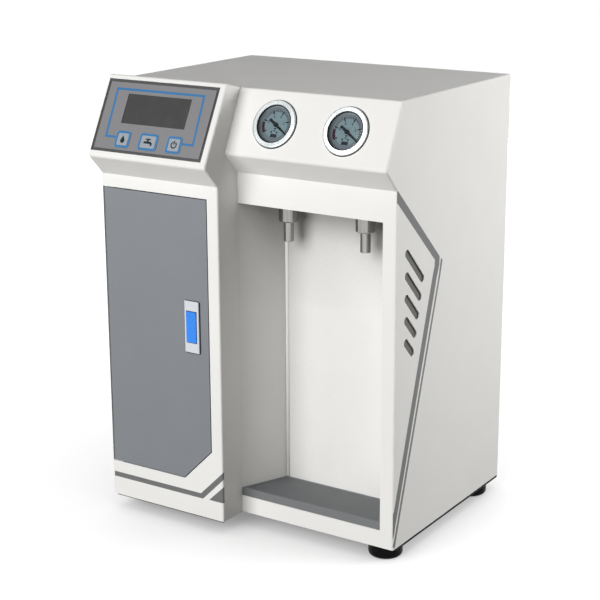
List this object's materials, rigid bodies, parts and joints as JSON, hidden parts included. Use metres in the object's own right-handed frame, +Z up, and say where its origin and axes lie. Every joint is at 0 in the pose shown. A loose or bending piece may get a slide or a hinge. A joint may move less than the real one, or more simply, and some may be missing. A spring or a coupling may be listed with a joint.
{
  "type": "ultrapure water system",
  "caption": "Bench-top ultrapure water system: white sheet cabinet with a grey door, sloped key panel, round gauges and nozzles over a recessed bay.",
  "frame": {"origin": "bottom centre of the box round the whole part, at the height of the surface it stands on", "axes": "+Z up, +X to the right seen from the front, +Y towards the back"},
  "size_m": [0.4124, 0.3844, 0.5867],
  "materials": {
    "cabinet_paint": "satin powder coat, warm white",
    "door_grey": "satin powder coat, mid grey",
    "tray_grey": "satin powder coat, dark grey",
    "mat_grey": "matt, dark grey",
    "black_plastic": "fine moulded grain, black",
    "latch_light": "satin, light warm grey",
    "latch_blue": "glossy, bright blue",
    "overlay_grey": "printed film, mid grey",
    "lcd_glass": "smooth, dark grey",
    "key_face": "printed film, pale grey",
    "circuit_board": "solder mask, green",
    "gauge_steel": "polished",
    "dial_face": "matt, blue grey",
    "pointer_black": "matt, black",
    "gauge_glass": "clear",
    "stainless_steel": "brushed",
    "valve_plastic": "moulded, off white",
    "zinc_steel": "zinc plated",
    "foot_rubber": "matt, black",
    "clip_plastic": "moulded, white",
    "vessel_plastic": "moulded, white",
    "pump_plastic": "moulded, black",
    "motor_steel": "drawn steel can, grey",
    "supply_aluminium": "folded case, plain",
    "tube_plastic": "extruded, milky white",
    "port_plastic": "moulded, pale grey",
    "rocker_plastic": "moulded, black"
  },
  "bodies": {
    "cabinet": {"base_pan": "cabinet_paint", "left_side_panel": "cabinet_paint", "right_side_panel": "cabinet_paint", "top_cover": "cabinet_paint", "rear_panel": "cabinet_paint", "gauge_hood": "cabinet_paint", "column_front": "cabinet_paint", "control_housing": "cabinet_paint", "bay_liner": "cabinet_paint", "hinge_brackets": "zinc_steel", "hinge_pins": "zinc_steel", "door_magnet": "black_plastic", "display_bezel": "black_plastic", "display_overlay": "overlay_grey", "lcd_window": "lcd_glass", "display_board": "circuit_board", "feet": "foot_rubber", "foot_screws": "zinc_steel", "vessel_bracket": "zinc_steel", "vessel_clips": "clip_plastic", "membrane_vessel": "vessel_plastic", "resin_cartridge_left": "vessel_plastic", "resin_cartridge_right": "vessel_plastic", "uv_chamber": "stainless_steel", "pump_head": "pump_plastic", "pump_motor": "motor_steel", "pump_cradle": "zinc_steel", "power_supply": "supply_aluminium", "control_board": "circuit_board", "tubing": "tube_plastic", "tube_ports": "port_plastic", "power_entry": "black_plastic", "rear_screws": "zinc_steel", "prefilter_left": "vessel_plastic", "gauge_case_left": "gauge_steel", "gauge_dial_left": "dial_face", "gauge_lens_left": "gauge_glass", "nozzle_collar_left": "stainless_steel", "nozzle_spout_left": "stainless_steel", "outlet_valve_left": "valve_plastic", "prefilter_right": "vessel_plastic", "gauge_case_right": "gauge_steel", "gauge_dial_right": "dial_face", "gauge_lens_right": "gauge_glass", "nozzle_collar_right": "stainless_steel", "nozzle_spout_right": "stainless_steel", "outlet_valve_right": "valve_plastic"},
    "door": {"door_panel": "door_grey", "latch_plate": "latch_light", "paddle_pin": "zinc_steel"},
    "latch_paddle": {"latch_paddle": "latch_blue"},
    "drip_tray": {"drip_tray": "tray_grey", "tray_mat": "mat_grey"},
    "power_rocker": {"power_rocker": "rocker_plastic"},
    "key_left": {"key_left": "key_face"},
    "key_middle": {"key_middle": "key_face"},
    "key_right": {"key_right": "key_face"},
    "gauge_pointer_left": {"gauge_pointer_left": "pointer_black"},
    "gauge_pointer_right": {"gauge_pointer_right": "pointer_black"}
  },
  "joints": [
    {"name": "door_swing", "type": "hinge", "parent": "cabinet", "child": "door", "pos_m": [-0.20095, -0.1643, 0.25705], "axis": [0, 0, -1], "range_deg": [0, 100]},
    {"name": "latch_tilt", "type": "hinge", "parent": "door", "child": "latch_paddle", "pos_m": [-0.06555, -0.16635, 0.2855], "axis": [-1, 0, 0], "range_deg": [0, 25], "stiffness_Nm_per_rad": 0.05},
    {"name": "tray_slide", "type": "slide", "parent": "cabinet", "child": "drip_tray", "axis": [0, -1, 0], "range_m": [0, 0.07]},
    {"name": "rocker_tilt", "type": "hinge", "parent": "cabinet", "child": "power_rocker", "pos_m": [-0.08725, 0.1702, 0.1935], "axis": [-1, 0, 0], "range_deg": [0, 16]},
    {"name": "key_left_press", "type": "slide", "parent": "cabinet", "child": "key_left", "axis": [0, 0.8882, -0.4595], "range_m": [0, 0.0008], "stiffness_N_per_m": 600},
    {"name": "key_middle_press", "type": "slide", "parent": "cabinet", "child": "key_middle", "axis": [0, 0.8882, -0.4595], "range_m": [0, 0.0008], "stiffness_N_per_m": 600},
    {"name": "key_right_press", "type": "slide", "parent": "cabinet", "child": "key_right", "axis": [0, 0.8882, -0.4595], "range_m": [0, 0.0008], "stiffness_N_per_m": 600},
    {"name": "pointer_left_turn", "type": "hinge", "parent": "cabinet", "child": "gauge_pointer_left", "pos_m": [0.04025, -0.13063, 0.5401], "axis": [0, -0.9027, 0.4303], "range_deg": [0, 246], "stiffness_Nm_per_rad": 0.0002},
    {"name": "pointer_right_turn", "type": "hinge", "parent": "cabinet", "child": "gauge_pointer_right", "pos_m": [0.14074, -0.13063, 0.5401], "axis": [0, -0.9027, 0.4303], "range_deg": [0, 246], "stiffness_Nm_per_rad": 0.0002}
  ]
}
